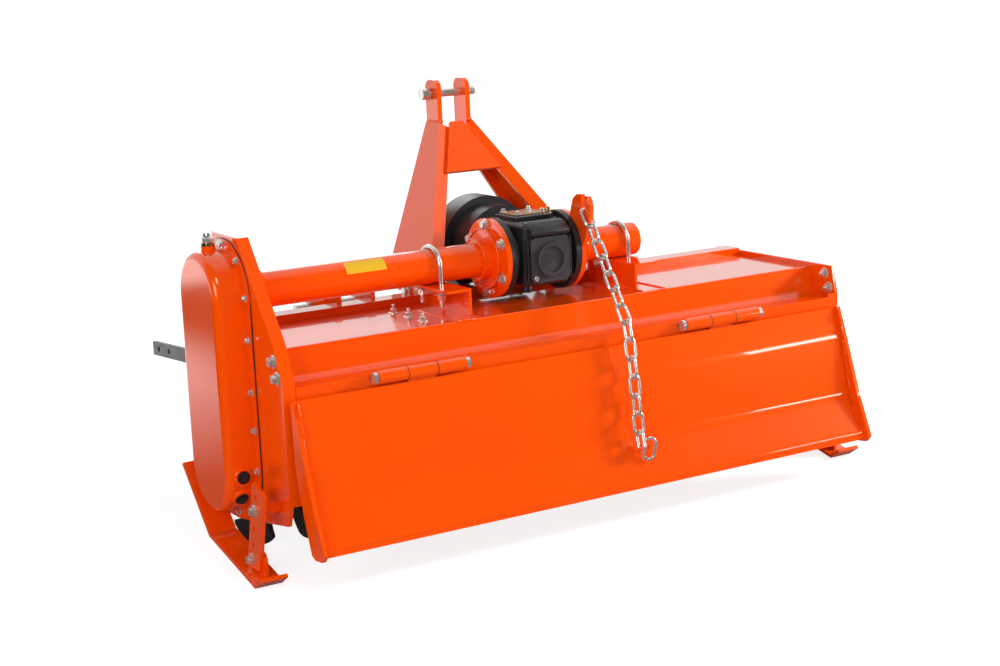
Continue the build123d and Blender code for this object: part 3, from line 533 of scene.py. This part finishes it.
fasteners("right_strut_nut", [(right_face + 34, -150, -516)], (-1, 0, 0), 15, 5)
fasteners("deck_nuts", [(392, 37, -98), (396, -24, -98), (394, -90, -98)], (0, 0, 1), 13, 9)
fasteners("clamp_nuts", [(x, y, -55.0) for x in (469, 963) for y in (-43.3, 43.3)], (0, 0, -1), 17)
fasteners("leg_foot_bolts", [(495, 160, -78)], (-1, 0, 0), 15)
fasteners("right_leg_foot_bolts", [(937, 160, -78)], (1, 0, 0), 15)
dome = [(0, 10.5, 99), (2, 10.5, 99), (5, 9.2, 99), (7.5, 6.5, 99), (9, 3.2, 99), (9.3, 0.8, 99)]
hinge_low, hinge_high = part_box("hinge_pins")
hinge_y, hinge_z = [1000 * ((hinge_low[k] + hinge_high[k]) / 2 - placed((0, 0, 0))[k]) for k in (1, 2)]
hinges = (297.0, 1066.0)
half_hinge, half_knuckle = 102, 34
# Painted shade: thin black rings, just proud of the knuckles, where the gaps between them fall dark.
gap_shade_rows = [(0, 14.3, 99), (0.2, 14.5, 99), (1.4, 14.5, 99), (1.6, 14.3, 99)]
gaps = [(x + dx - 0.8, hinge_y, hinge_z) for x in hinges for dx in (-half_knuckle, half_knuckle)]
turned("hinge_gap_shade", gap_shade_rows, gaps, (1, 0, 0), [black_plastic], "frame")
for name, side in (("hinge_pin_heads", -1), ("hinge_pin_ends", 1)):
    turned(name, dome, [(x + side * half_hinge, hinge_y, hinge_z) for x in hinges], (side, 0, 0), [zinc_plate], "frame")

# ---- Rotor ----
# The rotor's flanges are welded to its tube with a bead on each side, and every blade is forged spring steel.
# Two black bolts hold each blade to its flange, with their heads on the blade and their nuts on the flange.
flange_low, flange_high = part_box("rotor_flanges")
rotor_middle = [1000 * (flange_low[k] + flange_high[k]) / 2 - 1000 * placed((0, 0, 0))[k] for k in (1, 2)]
flange_x = 80.0 + 250.0 * np.arange(6)
half_flange, blade_face = 5, 12
weld_bead("rotor_beads", [ring_run(x + side * 5.6, 42.6, *rotor_middle) for x in flange_x for side in (-1, 1)], 2.8,
          "rotor", 4.5, black_paint)
head = [(-0.5, 7.85, 6.8), (6.9, 7.85, 6.8), (7.6, 7.2, 6.8), (8.0, 6.4, 6.8), (7.6, 5.2, 99), (7.6, 2.0, 99)]
nut = [(-0.5, 7.85, 6.8), (8.4, 7.85, 6.8), (9.0, 7.2, 6.8), (9.0, 5.3, 99), (12.4, 5.3, 99), (13.2, 4.4, 99)]
first_turn, flange_turn, blade_turn = 32.6, 20, 120
for side, hand, hand_turn in ((1, "right", 0), (-1, "left", 60)):
    spots = []
    for row, x in enumerate(flange_x):
        for blade in range(3):
            turn = np.radians(first_turn + flange_turn * row + blade_turn * blade + hand_turn)
            for radius in (56.0, 72.0):
                spots.append((x, rotor_middle[0] - radius * np.sin(turn), rotor_middle[1] + radius * np.cos(turn)))
    turned(hand + "_blade_bolts", head, [(x + side * blade_face, y, z) for x, y, z in spots], (side, 0, 0),
           [black_paint], "rotor")
    turned(hand + "_blade_nuts", nut, [(x - side * half_flange, y, z) for x, y, z in spots], (-side, 0, 0),
           [black_paint], "rotor")

# ---- Foot of the chain ----
# The chain is welded from round steel wire, link by link, and plated.
# One more link, left over at its end, hangs out to the right beside the lug on the flap.
def link_run(centre, length, width, lean, swing):
    """A closed oval link: half circles joined by straight sides, leant in its plane and swung about Z, in degrees."""
    half = np.radians(np.linspace(0, 180, 22))
    arc = np.stack((width / 2 * np.cos(half), width / 2 * np.sin(half) + (length - width) / 2), axis=1)
    loop = np.concatenate((arc, -arc, arc[:2]))
    lean, swing = np.radians((lean, swing))
    across = loop[:, 0] * np.cos(lean) + loop[:, 1] * np.sin(lean)
    upward = loop[:, 1] * np.cos(lean) - loop[:, 0] * np.sin(lean)
    return np.stack((across * np.cos(swing), across * np.sin(swing), upward), axis=1) + centre


weld_bead("spare_link", [link_run((799, -334, -399), 47.5, 24, 10, -25)], 3.5, "flap", 0, zinc_plate)

# ---- Gearbox trim ----
# A yellow-passivated plate closes the gearbox on top, held by four small bolts through the black lid.
# The casting has a grainy sloped ledge over its rear cover and ribs beside it, all left as cast.
def extruded(name, outline, ends, axis, materials, body, crease=32.0):
    """A prism: the outline (n x 2, the two other axes in order) carried from end to end, its edges cut back 1 mm."""
    outline = np.array(outline, dtype=float)
    centre = outline.mean(axis=0)
    sizes = np.abs(outline - centre).max(axis=0)
    cut = 1.0
    shrunk = centre + (outline - centre) * (1 - cut / sizes)
    levels = [(ends[0], shrunk), (ends[0] + cut, outline), (ends[1] - cut, outline), (ends[1], shrunk)]
    rings = np.zeros((1, 4, len(outline), 3))
    others = [k for k in range(3) if k != axis]
    for row, (level, loop) in enumerate(levels):
        rings[0, row, :, axis] = level
        rings[0, row][:, others] = loop
    piece = surface_piece(name, placed(rings), materials, crease)
    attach(piece, body)
    return piece


def round_rectangle(low_corner, high_corner, radius):
    """The outline of a rectangle with round corners, six points to a corner."""
    low_corner, high_corner = np.array(low_corner, dtype=float), np.array(high_corner, dtype=float)
    angle = np.radians(np.arange(0, 360, 15))
    spot = np.stack((np.cos(angle + 1e-6), np.sin(angle + 1e-6)), axis=1)
    centre, half = (low_corner + high_corner) / 2, (high_corner - low_corner) / 2 - radius
    return centre + np.sign(spot) * half + radius * spot


lid = round_rectangle((gearbox_x - 44, -33), (gearbox_x + 52, 62), 8)
lid_piece = extruded("gearbox_lid", lid, (77.5, 87.0), 2, [black_casting], "frame")
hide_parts("gearbox_top_cover")
gold_plate, surface = coated("gold_plate", (0.42, 0.25, 0.12), (0.26, 0.16, 0.08), 50.0, 300.0, 0.3, 0.5, 0.2, 0.0006)
surface.inputs["Metallic"].default_value = 0.5
plate = round_rectangle((gearbox_x - 32, -14), (gearbox_x + 48, 58), 6)
plate_piece = extruded("gearbox_plate", plate, (86.5, 90.0), 2, [gold_plate], "frame")
lid_bolts = [(gearbox_x + 8 + dx, 22 + dy, 89.8) for dx in (-33, 33) for dy in (-29, 29)]
fasteners("gearbox_lid_bolts", lid_bolts, (0, 0, 1), 9)
plug_rows = [(-2, 12, 10), (9, 12, 10), (9, 7.5, 99), (19, 7, 99), (22, 4.5, 99), (23, 1, 99)]
plug_piece = turned("gearbox_vent", plug_rows, [(gearbox_x + 62, 2, 76)], (0, 0, 1), [brass], "frame")
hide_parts("gearbox_breather")
fasteners("gearbox_neck_bolt", [(gearbox_x + 78, -6, 66)], (0, 0, 1), 11)
ledge = [(-62, 76), (-62, 80), (-78, 79), (-104, 62), (-106, 58), (-104, 52), (-86, 49)]
extruded("gearbox_ledge", ledge, (gearbox_x - 50, gearbox_x + 50), 0, [black_casting], "frame")
for side, name in ((-1, "gearbox_rib_left"), (1, "gearbox_rib_right")):
    rib = round_rectangle((gearbox_x + side * 55 - 2.5, -97), (gearbox_x + side * 55 + 2.5, -86), 2)
    extruded(name, rib, (-50, 44), 2, [black_casting], "frame")
fasteners("rear_cover_screw", [(gearbox_x - 38, -99.5, -42)], (0, -1, 0), 7)

# ---- Chain case trim ----
# A thin black bead runs round the case's rim where it meets the plate: painted shade of the crevice between them.
# The case is filled through a brass neck with a plated cap, and its two black plugs sit in welded steel bosses.
def stadium_run(x, radius):
    """A closed run round both shafts: half circles about the tube's and the rotor's axis, and straight sides."""
    half = np.radians(np.linspace(-90, 90, 40))
    upper = np.stack((radius * np.sin(half), radius * np.cos(half)), axis=1)
    lower = np.stack((radius * np.sin(half + np.pi), radius * np.cos(half + np.pi) - shaft_drop), axis=1)
    loop = np.concatenate((upper, lower, upper[:2]))
    return np.concatenate((np.full((len(loop), 1), x), loop), axis=1)


rotor_low, rotor_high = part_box("rotor_tube")
shaft_drop = 1000 * (tube_middle[2] - (rotor_low[2] + rotor_high[2]) / 2)
boss_rows = [(-3, 20, 99), (2.5, 20, 99), (4.2, 18.5, 99), (4.2, 14.4, 99), (1.5, 13.5, 99)]
for name, lean in (("level_boss", 4.0), ("drain_boss", 34.0)):
    way = np.array((0.0, -np.cos(np.radians(lean)), -np.sin(np.radians(lean))))
    turned(name, boss_rows, [way * 95.0 + (-42, 0, -shaft_drop)], way, [orange_paint], "frame")
# Painted shade: a black bead along the crevice between the case's rim and the plate.
weld_bead("case_rim_shade", [stadium_run(-8.9, 116.3)], 1.5, "frame", 40.0, black_plastic)
filler = [(-42, 0, 104)]
neck_rows = [(-1, 15, 14), (7, 15, 14), (7, 11, 99), (9, 11, 99)]
turned("filler_neck", neck_rows, filler, (0, 0, 1), [brass], "frame")
cap_rows = [(8.5, 13, 99), (17, 13, 99), (20, 10, 99), (20, 9.5, 8.5), (26, 9.5, 8.5), (28, 8.2, 99), (29, 5, 99),
            (29.2, 1, 99)]
turned("filler_cap", cap_rows, filler, (0, 0, 1), [zinc_plate], "frame")

# ---- Blank patch ----
# A plain yellow patch, cut from blank vinyl sheet, lies on the cross tube left of its clamp.
# It is stuck on over the paint and bends round the tube.
patch_angle = np.radians(np.linspace(22, 69, 16))
patch_arc = np.stack((-np.sin(patch_angle), np.cos(patch_angle)), axis=1)
patch_loop = np.concatenate((patch_arc * (tube_radius + 0.35), patch_arc[::-1] * (tube_radius - 0.3)))
patch_rings = np.stack([np.concatenate((np.full((len(patch_loop), 1), x), patch_loop), axis=1)
                        for x in (250.0, 344.0)])
yellow_vinyl, _ = coated("yellow_vinyl", (0.85, 0.5, 0.01), (0.78, 0.44, 0.01), 12.0, 200.0,
                         0.25, 0.4, 0.03, 0.0003)
patch = surface_piece("yellow_patch", placed(patch_rings[None]), [yellow_vinyl])
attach(patch, "frame")
